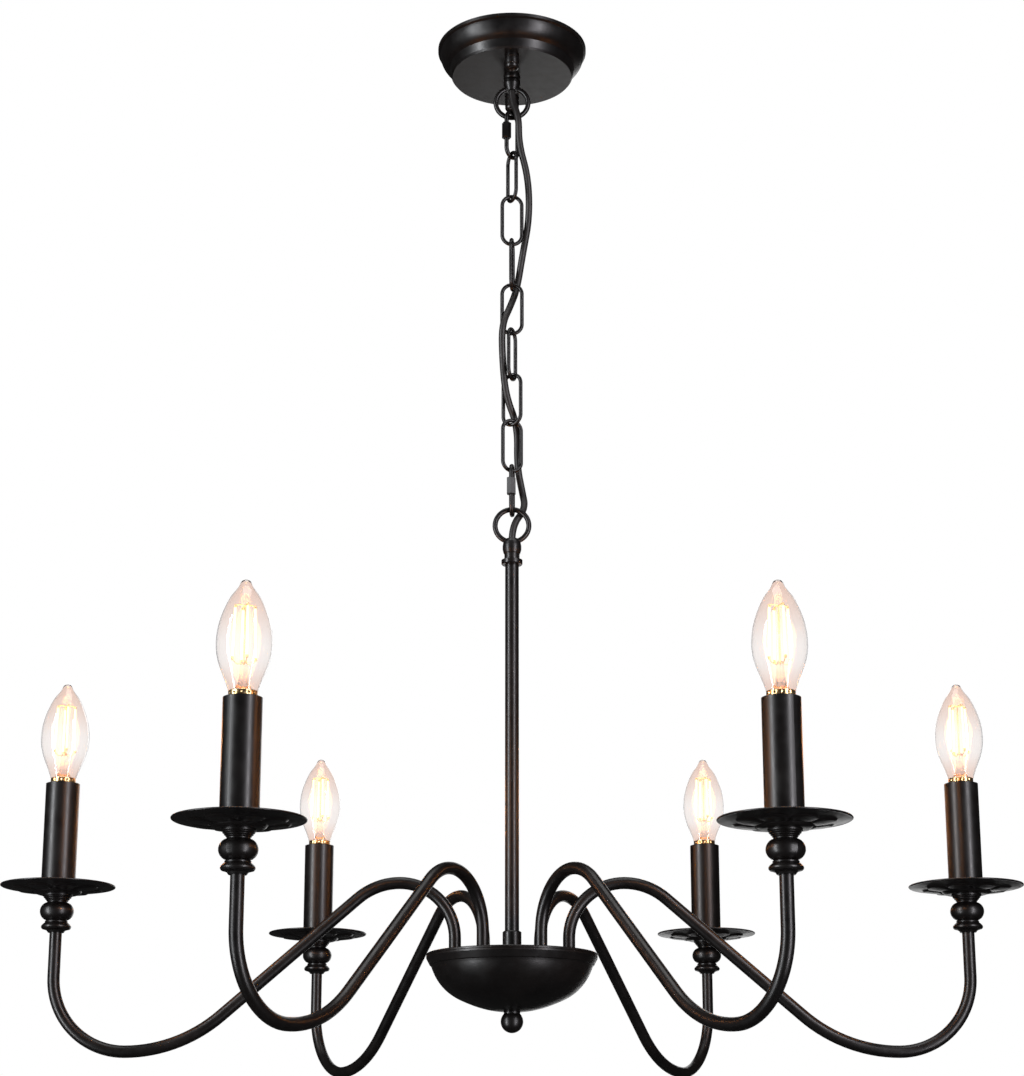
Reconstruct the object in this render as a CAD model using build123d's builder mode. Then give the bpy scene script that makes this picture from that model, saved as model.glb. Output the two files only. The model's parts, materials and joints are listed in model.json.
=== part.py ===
from build123d import *
import os
from math import cos, radians, sin, sqrt

# Six-arm candle chandelier on a chain, in millimetres.
# The origin is the centre of the ceiling face, +Z is up, and the whole object hangs below Z = 0.

os.makedirs("parts", exist_ok=True)

# ---- Ceiling canopy and its mounting strap -----------------------------------------------------
CANOPY_RADIUS = 60
CANOPY_DEPTH = 24.2
CANOPY_DISC_RADIUS = 48
CANOPY_WALL = 1
STRAP_THICK = 2
STRAP_LENGTH = 100
STRAP_WIDTH = 18
BOX_SCREW_SPACING = 79.4
BOX_SCREW_RADIUS = 2.25
BOX_SLOT_LENGTH = 14.1
SWIVEL_LENGTH = 86
SWIVEL_WIDTH = 15
RIVET_RADIUS = 8
RIVET_BORE_RADIUS = 5
CAP_NUT_OFFSET = 35
CANOPY_SCREW_RADIUS = 2.1
CANOPY_SCREW_BOTTOM = -32
SCREW_HEAD_RADIUS = 3.8
SCREW_NUT_WIDTH = 8.7
SCREW_NUT_THICK = 3
GROUND_SCREW_X = 21
GROUND_SCREW_RADIUS = 1.9
GROUND_SCREW_LENGTH = 9
PIPE_NUT_WIDTH = 14
WIRE_NUT_RADIUS = 4.6
WIRE_NUT_LENGTH = 17
WIRE_NUT_MOUTH_RADIUS = 2.2
WIRE_NUT_PLACE = 21
WIRE_NUT_TURNS = (20, 160, 215)
LEAD_RADIUS = 0.9

# ---- Loops, chain and cord ---------------------------------------------------------------------
CONTACT_GAP = 0.3
RING_RADIUS = 15
RING_WIRE = 4
CANOPY_RING_Z = -47
LINK_LENGTH = 44.2
LINK_WIDTH = 18.6
LINK_WIRE = 3
LINK_TWISTS = (-65, 5, 84, 0, 70, -30, 25)
QUICK_LINK_LENGTH = 42.5
QUICK_LINK_WIDTH = 17
QUICK_LINK_WIRE = 3.5
QUICK_LINK_TWISTS = (50, 85)
QUICK_LINK_GAP = 4.5
QUICK_LINK_GAP_RISE = 3.25
SLEEVE_LENGTH = 13.5
SLEEVE_RISE = 1.5
SLEEVE_ACROSS_FLATS = 6.5
SLEEVE_BORE_RADIUS = 1.83
CORD_DIAMETER = 5.4
CORD_RECESS_RADIUS = 3.2
CORD_ROUTE = (
    (0, 0, -35),
    (0, 0, -45.5),
    (5.5, -8, -63),
    (5.5, -5.5, -86),
    (13, -2.5, -113.5),
    (14, 2.5, -146.5),
    (8.5, 7, -176),
    (4, 14.5, -202.5),
    (-1, 1.5, -222),
    (-8, -10.5, -243),
    (-7.5, -2.5, -268.5),
    (-5, -2, -298.5),
    (4.5, 8.5, -320.5),
    (4, 10.5, -353),
    (8, 14, -372.5),
    (10.5, 8.5, -388),
    (0, 0, -404.4),
    (0, 0, -417.4),
)

# ---- Stem and hub ------------------------------------------------------------------------------
ROD_RADIUS = 5.25
ROD_WALL = 1.2
ROD_LENGTH = 280.8
COUPLING_RADIUS = 6.95
COUPLING_LENGTH = 17
PIPE_RADIUS = 4.8
PIPE_BORE_RADIUS = 3.2
PLATE_RADIUS = 63
PLATE_THICK = 2
BOWL_BAND_HEIGHT = 6
BOWL_CURVE_RADIUS = 59
BOWL_CURVE_DEPTH = 32
BOWL_WALL = 1.2
FINIAL_RADIUS = 8.25
FINIAL_NECK_RADIUS = 6
PIPE_IN_COUPLING = 8

# ---- Arms and candles --------------------------------------------------------------------------
ARM_COUNT = 6
CANDLE_RADIUS = 336
ARM_TUBE_RADIUS = 4.5
ARM_BORE_RADIUS = 3
ARM_ROOT_RADIUS = 42
ARM_CROWN_RISE = 52.7
ARM_CROWN_BEND = 41
ARM_SHOULDER_BEND = 47
ARM_SLOPE_ANGLE = 41
ARM_BELLY_BEND = 106
ARM_FOOT_BEND = 54
ARM_TAIL = 6
LOCK_NUT_THICK = 4
BOBECHE_RADIUS = 42
BOBECHE_SHEET = 1
CUP_DEPTH = 7
BALL_RADIUS = 12.4
BALL_NECK_RADIUS = 7.4
BALL_LEVEL = 19.4
BALL_HALF_HEIGHT = 6.6
BALUSTER_BOTTOM = 35
ARM_SOCKET_DEPTH = 2.5
SLEEVE_RADIUS = 12.5
SLEEVE_WALL = 1
SLEEVE_TOP = 76
NIPPLE_RADIUS = 4.7
SOCKET_RADIUS = 9
SOCKET_BOTTOM = 30
SOCKET_TOP = 73
SCREW_SHELL_RADIUS = 6.5
SCREW_SHELL_WALL = 0.4
BULB_RADIUS = 17.8
BULB_WIDEST = 110.5
BULB_TOP = 152.5
BULB_NECK_RADIUS = 9.3
BULB_NECK = 80
BULB_WALL = 0.8
BULB_DOME = ((0.86, 0.40), (0.70, 0.58), (0.47, 0.765), (0.235, 0.91))
CAP_RADIUS = 5.9
CAP_BOTTOM = 55
FILAMENT_COUNT = 4
FILAMENT_RADIUS = 0.75
FILAMENT_LENGTH = 34
FILAMENT_CIRCLE = 7
FILAMENT_TURN = 20
GLASS_STEM_HEIGHT = 20

# ---- Heights that follow from the chain --------------------------------------------------------
ring_bend = RING_RADIUS - RING_WIRE / 2
quick_drop = QUICK_LINK_LENGTH - QUICK_LINK_WIRE
link_drop = LINK_LENGTH - LINK_WIRE
ring_to_quick = (RING_WIRE + QUICK_LINK_WIRE) / 2 + CONTACT_GAP
quick_to_link = (QUICK_LINK_WIRE + LINK_WIRE) / 2 + CONTACT_GAP
link_to_link = LINK_WIRE + CONTACT_GAP

# Each height is the centre of the upper wire of a hanging link.
top_quick_z = CANOPY_RING_Z - ring_bend + ring_to_quick
first_link_z = top_quick_z - quick_drop + quick_to_link
link_heights = [
    first_link_z - i * (link_drop - link_to_link) for i in range(len(LINK_TWISTS))
]
bottom_quick_z = link_heights[-1] - link_drop + quick_to_link
stem_ring_z = bottom_quick_z - quick_drop + ring_to_quick - ring_bend

rod_top = stem_ring_z - RING_RADIUS - 16.4
rod_bottom = rod_top - ROD_LENGTH
plate_top = rod_bottom - COUPLING_LENGTH
plate_bottom = plate_top - PLATE_THICK
bowl_curve_top = plate_bottom - BOWL_BAND_HEIGHT - 2
bowl_bottom = bowl_curve_top - BOWL_CURVE_DEPTH
finial_centre = bowl_bottom - FINIAL_RADIUS + 1.3

# The rims of the drip pans; the candles are measured from here.
rim_level = plate_bottom + 53


def save(piece, node):
    """Label a finished piece and write it to its own file."""
    piece.part.label = node
    export_step(piece.part, f"parts/{node}.step")


def outline(*points):
    """A closed outline of (radius, height) points, ready to revolve about Z."""
    with BuildSketch(Plane.XZ) as section:
        with BuildLine():
            Polyline(*points, close=True)
        make_face()
    return section.sketch


def tube(radius, bore, bottom, top):
    """A plain round tube on the Z axis."""
    with BuildPart() as pipe:
        with BuildSketch(Plane.XY.offset(bottom)):
            Circle(radius)
            Circle(bore, mode=Mode.SUBTRACT)
        extrude(amount=top - bottom)
    return pipe


def hex_nut(across_flats, bore, bottom, thick):
    """A hexagonal nut on the Z axis, with its outer corners turned down."""
    with BuildPart() as nut:
        with BuildSketch(Plane.XY.offset(bottom)):
            RegularPolygon(across_flats / 2, 6, major_radius=False)
        extrude(amount=thick)
        with BuildSketch(Plane.XY.offset(bottom)):
            Circle(across_flats * 0.56)
        extrude(amount=thick, mode=Mode.INTERSECT)
        with BuildSketch(Plane.XY.offset(bottom)):
            Circle(bore)
        extrude(amount=thick, mode=Mode.SUBTRACT)
    return nut


def ring_of(piece, radius, count):
    """Copies of a piece made on the Z axis, spaced evenly round a circle."""
    with BuildPart() as group:
        with PolarLocations(radius, count):
            add(piece.part)
    return group


def link_plane(height, twist):
    """The plane of a hanging link: local Y is up, and local X is turned by the link's twist."""
    turn = radians(twist)
    return Plane(
        origin=(0, 0, height),
        x_dir=(cos(turn), sin(turn), 0),
        z_dir=(sin(turn), -cos(turn), 0),
    )


def oval_link(length, width, wire, top, twist, gap=0, gap_rise=0):
    """A closed oval of round wire hanging from height top; a gap opens its left side."""
    bend = (width - wire) / 2
    side = length - width
    with BuildPart() as link:
        with Locations(link_plane(top - bend, twist)):
            Torus(bend, wire / 2, major_angle=180, align=None)
        with Locations(link_plane(top - bend - side, twist)):
            Torus(bend, wire / 2, major_angle=180, rotation=(0, 0, 180), align=None)
        with Locations(link_plane(top - bend - side / 2, twist)):
            with Locations((bend, 0)):
                Cylinder(wire / 2, side, rotation=(90, 0, 0))
            with Locations((-bend, 0)):
                Cylinder(wire / 2, side, rotation=(90, 0, 0))
            if gap:
                with Locations((-bend, gap_rise)):
                    Cylinder(wire, gap, rotation=(90, 0, 0), mode=Mode.SUBTRACT)
    return link


def link_sleeve(top, twist):
    """The hexagonal screw sleeve that closes a quick link's left side."""
    bend = (QUICK_LINK_WIDTH - QUICK_LINK_WIRE) / 2
    middle = top - quick_drop / 2 + SLEEVE_RISE
    turn = radians(twist)
    with BuildPart() as sleeve:
        with BuildSketch(
            Plane((-bend * cos(turn), -bend * sin(turn), middle - SLEEVE_LENGTH / 2))
        ):
            RegularPolygon(SLEEVE_ACROSS_FLATS / 2, 6, major_radius=False, rotation=twist)
            Circle(SLEEVE_BORE_RADIUS, mode=Mode.SUBTRACT)
        extrude(amount=SLEEVE_LENGTH)
        chamfer(
            sleeve.edges().filter_by(GeomType.LINE).group_by(Axis.Z)[-1]
            + sleeve.edges().filter_by(GeomType.LINE).group_by(Axis.Z)[0],
            0.4,
        )
    return sleeve


# ---- Mounting strap ----------------------------------------------------------------------------
with BuildPart() as crossbar:
    with BuildSketch(Plane.XY.offset(-STRAP_THICK)):
        RectangleRounded(STRAP_LENGTH, STRAP_WIDTH, 6)
        Circle(RIVET_BORE_RADIUS + 1.5, mode=Mode.SUBTRACT)
        with Locations((-BOX_SCREW_SPACING / 2, 0), (BOX_SCREW_SPACING / 2, 0)):
            SlotOverall(BOX_SLOT_LENGTH, 2 * BOX_SCREW_RADIUS, mode=Mode.SUBTRACT)
        with Locations((GROUND_SCREW_X, 0)):
            Circle(GROUND_SCREW_RADIUS, mode=Mode.SUBTRACT)
    extrude(amount=STRAP_THICK)
save(crossbar, "crossbar")

with BuildPart() as swivel_strap:
    with BuildSketch(Plane.XY.offset(-2 * STRAP_THICK)):
        RectangleRounded(SWIVEL_WIDTH, SWIVEL_LENGTH, 5)
        Circle(RIVET_BORE_RADIUS + 1.5, mode=Mode.SUBTRACT)
        with Locations((0, -CAP_NUT_OFFSET), (0, CAP_NUT_OFFSET)):
            Circle(CANOPY_SCREW_RADIUS, mode=Mode.SUBTRACT)
    extrude(amount=STRAP_THICK)
save(swivel_strap, "swivel_strap")

# An eyelet joins the two straps at their centre.
with BuildPart() as swivel_rivet:
    revolve(
        outline(
            (RIVET_BORE_RADIUS, 0),
            (RIVET_BORE_RADIUS + 1.5, 0),
            (RIVET_BORE_RADIUS + 1.5, -2 * STRAP_THICK),
            (RIVET_RADIUS, -2 * STRAP_THICK),
            (RIVET_RADIUS - 0.6, -2 * STRAP_THICK - 1),
            (RIVET_BORE_RADIUS, -2 * STRAP_THICK - 1),
        ),
        axis=Axis.Z,
    )
save(swivel_rivet, "swivel_rivet")

with BuildPart() as ground_screw:
    with Locations((GROUND_SCREW_X, 0, -STRAP_THICK)):
        Cylinder(
            GROUND_SCREW_RADIUS,
            GROUND_SCREW_LENGTH,
            align=(Align.CENTER, Align.CENTER, Align.MAX),
        )
        Cylinder(
            GROUND_SCREW_RADIUS, STRAP_THICK, align=(Align.CENTER, Align.CENTER, Align.MIN)
        )
    with BuildSketch(Plane((GROUND_SCREW_X, 0, -STRAP_THICK - 3))):
        RegularPolygon(4, 6, major_radius=False)
    extrude(amount=3)
save(ground_screw, "ground_screw")

# Two machine screws hang from the swivel strap, and hold the canopy by its cap nuts.
with BuildPart() as canopy_screws:
    with Locations((0, -CAP_NUT_OFFSET, 0), (0, CAP_NUT_OFFSET, 0)):
        with Locations((0, 0, CANOPY_SCREW_BOTTOM)):
            Cylinder(
                CANOPY_SCREW_RADIUS,
                -CANOPY_SCREW_BOTTOM - STRAP_THICK,
                align=(Align.CENTER, Align.CENTER, Align.MIN),
            )
        with Locations((0, 0, -STRAP_THICK)):
            Cylinder(
                SCREW_HEAD_RADIUS,
                STRAP_THICK - 0.3,
                align=(Align.CENTER, Align.CENTER, Align.MIN),
            )
save(canopy_screws, "canopy_screws")

screw_nut = hex_nut(
    SCREW_NUT_WIDTH,
    CANOPY_SCREW_RADIUS,
    -2 * STRAP_THICK - SCREW_NUT_THICK,
    SCREW_NUT_THICK,
)
with BuildPart() as canopy_screw_nuts:
    with Locations((0, -CAP_NUT_OFFSET, 0), (0, CAP_NUT_OFFSET, 0)):
        add(screw_nut.part)
save(canopy_screw_nuts, "canopy_screw_nuts")


# ---- Canopy ------------------------------------------------------------------------------------
def canopy_section(inset):
    """Half section of the canopy's outside, or of its inside when inset by the sheet."""
    floor = -CANOPY_DEPTH + inset
    with BuildSketch(Plane.XZ) as section:
        with BuildLine():
            lip = Polyline(
                (0, floor),
                (0, 0),
                (CANOPY_RADIUS - inset, 0),
                (CANOPY_RADIUS - inset, -2.5 + inset / 2),
                (CANOPY_RADIUS - 1.8 - inset, -3.5 + inset / 2),
            )
            bulge = ThreePointArc(lip @ 1, (56.6 - inset, -10.4), (51.6 - inset, -15.6))
            band = Polyline(
                bulge @ 1,
                (50.5 - inset, -16.4),
                (49.2 - inset, -CANOPY_DEPTH + 1.5 + inset / 2),
                (CANOPY_DISC_RADIUS - inset / 2, floor),
            )
            Line(band @ 1, lip @ 0)
        make_face()
    return section.sketch


with BuildPart() as canopy:
    revolve(canopy_section(0), axis=Axis.Z)
    revolve(canopy_section(CANOPY_WALL), axis=Axis.Z, mode=Mode.SUBTRACT)
    with BuildSketch(Plane.XY.offset(-CANOPY_DEPTH)):
        Circle(PIPE_RADIUS)
        with Locations((0, -CAP_NUT_OFFSET), (0, CAP_NUT_OFFSET)):
            Circle(CANOPY_SCREW_RADIUS + 0.2)
    extrude(amount=CANOPY_WALL, mode=Mode.SUBTRACT)
save(canopy, "canopy")

# Turned knobs with ring grooves and a dished end.
with BuildPart() as cap_nut:
    revolve(
        outline(
            (0, 0),
            (5.75, 0),
            (5.75, -1.8),
            (5.2, -2.3),
            (5.2, -2.9),
            (5.75, -3.4),
            (5.75, -7.6),
            (5.2, -8.1),
            (5.2, -8.7),
            (5.75, -9.2),
            (5.2, -10.6),
            (4.1, -11.2),
            (3.4, -10.4),
            (2.6, -9.8),
            (0, -9.6),
        ),
        axis=Axis.Z,
    )
    with BuildSketch(Plane.XY):
        Circle(CANOPY_SCREW_RADIUS)
    extrude(amount=CANOPY_SCREW_BOTTOM + CANOPY_DEPTH, mode=Mode.SUBTRACT)
with BuildPart() as canopy_cap_nuts:
    with Locations((0, -CAP_NUT_OFFSET, -CANOPY_DEPTH), (0, CAP_NUT_OFFSET, -CANOPY_DEPTH)):
        add(cap_nut.part)
save(canopy_cap_nuts, "canopy_cap_nuts")


def ring_loop(ring_z, collar, cord_end, sense):
    """A cast ring on a turned collar; the cord goes into a recess in the collar, inside the ring.

    sense is 1 where the collar is above the ring, and -1 where it is below.
    """
    with BuildPart() as loop:
        with Locations((0, 0, ring_z)):
            Torus(ring_bend, RING_WIRE / 2, rotation=(90, 0, 0))
        revolve(collar, axis=Axis.Z)
        with BuildSketch(Plane.XY.offset(cord_end)):
            Circle(CORD_RECESS_RADIUS)
        extrude(amount=-sense * 4, mode=Mode.SUBTRACT)
    return loop


collar_mouth = CANOPY_RING_Z + RING_RADIUS - RING_WIRE - 0.6
with BuildPart() as canopy_loop:
    add(
        ring_loop(
            CANOPY_RING_Z,
            outline(
                (0, -CANOPY_DEPTH),
                (6.8, -CANOPY_DEPTH),
                (6.8, -CANOPY_DEPTH - 1.2),
                (6.0, -CANOPY_DEPTH - 2.2),
                (6.8, -CANOPY_DEPTH - 4),
                (6.8, -CANOPY_DEPTH - 6.6),
                (5.6, -CANOPY_DEPTH - 9.6),
                (4.6, collar_mouth),
                (0, collar_mouth),
            ),
            CORD_ROUTE[0][2],
            1,
        ).part
    )
    with BuildSketch(Plane.XY.offset(-CANOPY_DEPTH)):
        Circle(PIPE_RADIUS)
    extrude(amount=-5, mode=Mode.SUBTRACT)
save(canopy_loop, "canopy_loop")

pipe_top = -CANOPY_DEPTH + CANOPY_WALL + 9
save(tube(PIPE_RADIUS, PIPE_BORE_RADIUS, -CANOPY_DEPTH - 5, pipe_top), "loop_nipple")
save(
    hex_nut(PIPE_NUT_WIDTH, PIPE_RADIUS, -CANOPY_DEPTH + CANOPY_WALL, LOCK_NUT_THICK),
    "loop_lock_nut",
)

# Wire nuts lie on the canopy's floor and join the cord's three leads to the supply.
wire_nut_z = -CANOPY_DEPTH + CANOPY_WALL + WIRE_NUT_RADIUS + 0.4


def wire_nut():
    """A tapered insulating cap lying along X, its open end towards the axis."""
    with BuildPart() as nut:
        with BuildSketch(Plane.YZ):
            Circle(WIRE_NUT_RADIUS)
        with BuildSketch(Plane.YZ.offset(WIRE_NUT_LENGTH)):
            Circle(WIRE_NUT_RADIUS * 0.6)
        loft()
        with BuildSketch(Plane.YZ):
            Circle(WIRE_NUT_MOUTH_RADIUS)
        extrude(amount=WIRE_NUT_LENGTH / 2, mode=Mode.SUBTRACT)
    return nut


with BuildPart() as supply_wire_nuts:
    for turn in WIRE_NUT_TURNS:
        with Locations(Location((0, 0, wire_nut_z), (0, 0, turn))):
            with Locations((WIRE_NUT_PLACE, 0, 0)):
                add(wire_nut().part)
save(supply_wire_nuts, "supply_wire_nuts")

# The three leads fan out of the nipple and bend down into the wire nuts.
with BuildPart() as supply_leads:
    for turn in WIRE_NUT_TURNS:
        lead_plane = Plane.XZ.rotated((0, 0, turn))
        with BuildLine(lead_plane) as lead_path:
            FilletPolyline(
                (2.1, pipe_top - 4),
                (2.1, pipe_top + 3.4),
                (13.5, pipe_top + 3.4),
                (15.5, wire_nut_z),
                (27, wire_nut_z),
                radius=1.6,
            )
        with BuildSketch(Plane(lead_path.line @ 0, z_dir=lead_path.line % 0)):
            Circle(LEAD_RADIUS)
        sweep(path=lead_path.line)
save(supply_leads, "supply_leads")

# ---- Chain -------------------------------------------------------------------------------------
for place, top, twist in (
    ("top", top_quick_z, QUICK_LINK_TWISTS[0]),
    ("bottom", bottom_quick_z, QUICK_LINK_TWISTS[1]),
):
    quick_link = oval_link(
        QUICK_LINK_LENGTH,
        QUICK_LINK_WIDTH,
        QUICK_LINK_WIRE,
        top,
        twist,
        QUICK_LINK_GAP,
        QUICK_LINK_GAP_RISE,
    )
    save(quick_link, f"{place}_quick_link")
    save(link_sleeve(top, twist), f"{place}_quick_link_sleeve")

for number, (top, twist) in enumerate(zip(link_heights, LINK_TWISTS), start=1):
    save(
        oval_link(LINK_LENGTH, LINK_WIDTH, LINK_WIRE, top, twist), f"chain_link_{number}"
    )


def bend_radii(route):
    """The widest tidy bend at each corner of a route: 0.45 of the shorter run on either side."""
    points = [Vector(*point) for point in route]
    radii = []
    for before, corner, after in zip(points, points[1:], points[2:]):
        run_in, run_out = corner - before, after - corner
        half_turn = radians(run_in.get_angle(run_out)) / 2
        shorter = min(run_in.length, run_out.length)
        radii.append(0.45 * shorter * cos(half_turn) / sin(half_turn))
    return radii


# The supply cord is woven down through the chain from the canopy loop to the stem loop.
with BuildPart() as power_cord:
    with BuildLine() as cord_line:
        FilletPolyline(*CORD_ROUTE, radius=bend_radii(CORD_ROUTE))
    with BuildSketch(Plane(cord_line.line @ 0, z_dir=cord_line.line % 0)):
        Circle(CORD_DIAMETER / 2)
    sweep(path=cord_line.line)
save(power_cord, "power_cord")

# ---- Stem --------------------------------------------------------------------------------------
stem_mouth = stem_ring_z - RING_RADIUS + RING_WIRE + 0.2
with BuildPart() as stem_loop:
    add(
        ring_loop(
            stem_ring_z,
            outline(
                (0, stem_mouth),
                (4.8, stem_mouth),
                (6.6, stem_mouth - 2.6),
                (7.2, stem_mouth - 5.4),
                (7.2, stem_mouth - 8.6),
                (6.4, stem_mouth - 11.4),
                (5.85, stem_mouth - 12.2),
                (5.85, rod_top + 4.2),
                (8.1, rod_top + 3.6),
                (8.1, rod_top + 0.6),
                (7.6, rod_top),
                (0, rod_top),
            ),
            CORD_ROUTE[-1][2],
            -1,
        ).part
    )
save(stem_loop, "stem_loop")
save(tube(ROD_RADIUS, ROD_RADIUS - ROD_WALL, rod_bottom, rod_top), "stem_rod")

with BuildPart() as stem_coupling:
    revolve(
        outline(
            (0, rod_bottom),
            (COUPLING_RADIUS - 0.8, rod_bottom),
            (COUPLING_RADIUS, rod_bottom - 0.8),
            (COUPLING_RADIUS, plate_top),
            (0, plate_top),
        ),
        axis=Axis.Z,
    )
    with BuildSketch(Plane.XY.offset(rod_bottom)):
        Circle(PIPE_BORE_RADIUS)
    extrude(amount=-COUPLING_LENGTH, mode=Mode.SUBTRACT)
    with BuildSketch(Plane.XY.offset(plate_top)):
        Circle(PIPE_RADIUS)
    extrude(amount=PIPE_IN_COUPLING, mode=Mode.SUBTRACT)
save(stem_coupling, "stem_coupling")

# ---- Hub ---------------------------------------------------------------------------------------
with BuildPart() as hub_plate:
    with BuildSketch(Plane.XY.offset(plate_bottom)):
        Circle(PLATE_RADIUS)
        Circle(PIPE_RADIUS, mode=Mode.SUBTRACT)
        with PolarLocations(ARM_ROOT_RADIUS, ARM_COUNT):
            Circle(ARM_TUBE_RADIUS, mode=Mode.SUBTRACT)
    extrude(amount=PLATE_THICK)
    chamfer(hub_plate.edges().filter_by(GeomType.CIRCLE).sort_by(SortBy.RADIUS)[-2:], 0.4)
save(hub_plate, "hub_plate")

finial_pipe_end = bowl_bottom - 5
with BuildPart() as hub_pipe:
    add(tube(PIPE_RADIUS, PIPE_BORE_RADIUS, finial_pipe_end, plate_top + PIPE_IN_COUPLING).part)
    # A window in the pipe's side lets the wires out into the bowl.
    with BuildSketch(Plane.XZ.offset(-PIPE_RADIUS)):
        with Locations((0, plate_bottom - 14)):
            SlotOverall(12, 4, rotation=90)
    extrude(amount=PIPE_RADIUS, mode=Mode.SUBTRACT)
save(hub_pipe, "hub_pipe")
save(
    hex_nut(PIPE_NUT_WIDTH, PIPE_RADIUS, plate_bottom - LOCK_NUT_THICK, LOCK_NUT_THICK),
    "hub_lock_nut",
)
save(
    ring_of(
        hex_nut(13, ARM_TUBE_RADIUS, plate_bottom - LOCK_NUT_THICK, LOCK_NUT_THICK),
        ARM_ROOT_RADIUS,
        ARM_COUNT,
    ),
    "arm_lock_nuts",
)


def bowl_section(inset):
    """Half section of the bowl's outside, or of its inside when inset by the sheet."""
    curve_radius = BOWL_CURVE_RADIUS - inset
    bottom = bowl_bottom + inset
    with BuildSketch(Plane.XZ) as section:
        with BuildLine():
            band = Polyline(
                (0, bottom),
                (0, plate_bottom),
                (PLATE_RADIUS - inset, plate_bottom),
                (PLATE_RADIUS - inset, plate_bottom - 1.2),
                (60.5 - inset, plate_bottom - BOWL_BAND_HEIGHT),
                (59.6 - inset, plate_bottom - BOWL_BAND_HEIGHT - 0.6),
                (curve_radius, bowl_curve_top),
            )
            Spline(
                band @ 1,
                (37.5 - inset / 2, bowl_curve_top - 23.4 + inset * 0.87),
                band @ 0,
                tangents=((-0.35, -1), (-1, -0.45), (-1, 0)),
            )
        make_face()
    return section.sketch


with BuildPart() as hub_bowl:
    revolve(bowl_section(0), axis=Axis.Z)
    revolve(bowl_section(BOWL_WALL), axis=Axis.Z, mode=Mode.SUBTRACT)
    with BuildSketch(Plane.XY.offset(bowl_bottom - 1)):
        Circle(PIPE_RADIUS)
    extrude(amount=4, mode=Mode.SUBTRACT)
save(hub_bowl, "hub_bowl")

finial_neck_foot = finial_centre + sqrt(FINIAL_RADIUS**2 - FINIAL_NECK_RADIUS**2)
with BuildPart() as finial:
    with Locations((0, 0, finial_centre)):
        Sphere(FINIAL_RADIUS)
    with BuildSketch(Plane.XY.offset(bowl_bottom)):
        Circle(FINIAL_NECK_RADIUS)
    extrude(amount=finial_neck_foot - bowl_bottom - 0.5)
    with BuildSketch(Plane.XY.offset(bowl_bottom)):
        Circle(FINIAL_RADIUS + 2)
    extrude(amount=FINIAL_RADIUS, mode=Mode.SUBTRACT)
    with BuildSketch(Plane.XY.offset(bowl_bottom)):
        Circle(PIPE_RADIUS)
    extrude(amount=finial_pipe_end - bowl_bottom, mode=Mode.SUBTRACT)
save(finial, "finial")

# Two wire nuts stand in the bowl and join the arms' wires to the cord.
hub_nut_mouth = plate_bottom - 12
with BuildPart() as hub_wire_nuts:
    for x in (-WIRE_NUT_PLACE, WIRE_NUT_PLACE):
        with Locations(Location((x, 0, hub_nut_mouth), (0, 90, 0))):
            add(wire_nut().part)
save(hub_wire_nuts, "hub_wire_nuts")

# Each arm's lead drops out of its tube, crosses to the nearer wire nut and turns down into it.
arm_tail_end = plate_bottom - ARM_TAIL
lead_level = arm_tail_end - 3
lead_spread = 1.1
with BuildPart() as arm_leads:
    for number in range(ARM_COUNT):
        turn = radians(360 * number / ARM_COUNT)
        side = 1 if cos(turn) > 0 else -1
        arm_x, arm_y = ARM_ROOT_RADIUS * cos(turn), ARM_ROOT_RADIUS * sin(turn)
        nut_x = side * (WIRE_NUT_PLACE + lead_spread * cos(2 * turn))
        nut_y = side * lead_spread * sin(2 * turn)
        with BuildLine() as lead_path:
            FilletPolyline(
                (arm_x, arm_y, arm_tail_end + 4),
                (arm_x, arm_y, lead_level),
                (nut_x, nut_y, lead_level),
                (nut_x, nut_y, hub_nut_mouth - 6),
                radius=2.4,
            )
        with BuildSketch(Plane(lead_path.line @ 0, z_dir=lead_path.line % 0)):
            Circle(LEAD_RADIUS)
        sweep(path=lead_path.line)
save(arm_leads, "arm_leads")

# ---- Arms --------------------------------------------------------------------------------------
# Up from the hub plate, over a crown, down a straight slope, round the belly and up to the candle.
slope = radians(ARM_SLOPE_ANGLE)
crown_z = plate_bottom + ARM_CROWN_RISE + 2
slope_reach = (
    CANDLE_RADIUS
    - ARM_ROOT_RADIUS
    - ARM_CROWN_BEND
    - ARM_FOOT_BEND
    - (ARM_SHOULDER_BEND + ARM_BELLY_BEND) * sin(slope)
)
arm_top = rim_level - BALUSTER_BOTTOM + ARM_SOCKET_DEPTH
with BuildPart() as arm:
    with BuildLine(Plane.XZ) as arm_line:
        root = Line((ARM_ROOT_RADIUS, arm_tail_end), (ARM_ROOT_RADIUS, crown_z - ARM_CROWN_BEND))
        crown = JernArc(root @ 1, root % 1, ARM_CROWN_BEND, -90)
        shoulder = JernArc(crown @ 1, crown % 1, ARM_SHOULDER_BEND, -ARM_SLOPE_ANGLE)
        fall = Line(shoulder @ 1, (shoulder @ 1) + (shoulder % 1) * (slope_reach / cos(slope)))
        belly = JernArc(fall @ 1, fall % 1, ARM_BELLY_BEND, ARM_SLOPE_ANGLE)
        foot = JernArc(belly @ 1, belly % 1, ARM_FOOT_BEND, 90)
        Line(foot @ 1, (CANDLE_RADIUS, arm_top))
    with BuildSketch(Plane(arm_line.line @ 0, z_dir=arm_line.line % 0)):
        Circle(ARM_TUBE_RADIUS)
        Circle(ARM_BORE_RADIUS, mode=Mode.SUBTRACT)
    sweep(path=arm_line.line)

for number in range(ARM_COUNT):
    with BuildPart() as turned_arm:
        add(arm.part.rotate(Axis.Z, 360 * number / ARM_COUNT))
    save(turned_arm, f"arm_{number + 1}")

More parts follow.
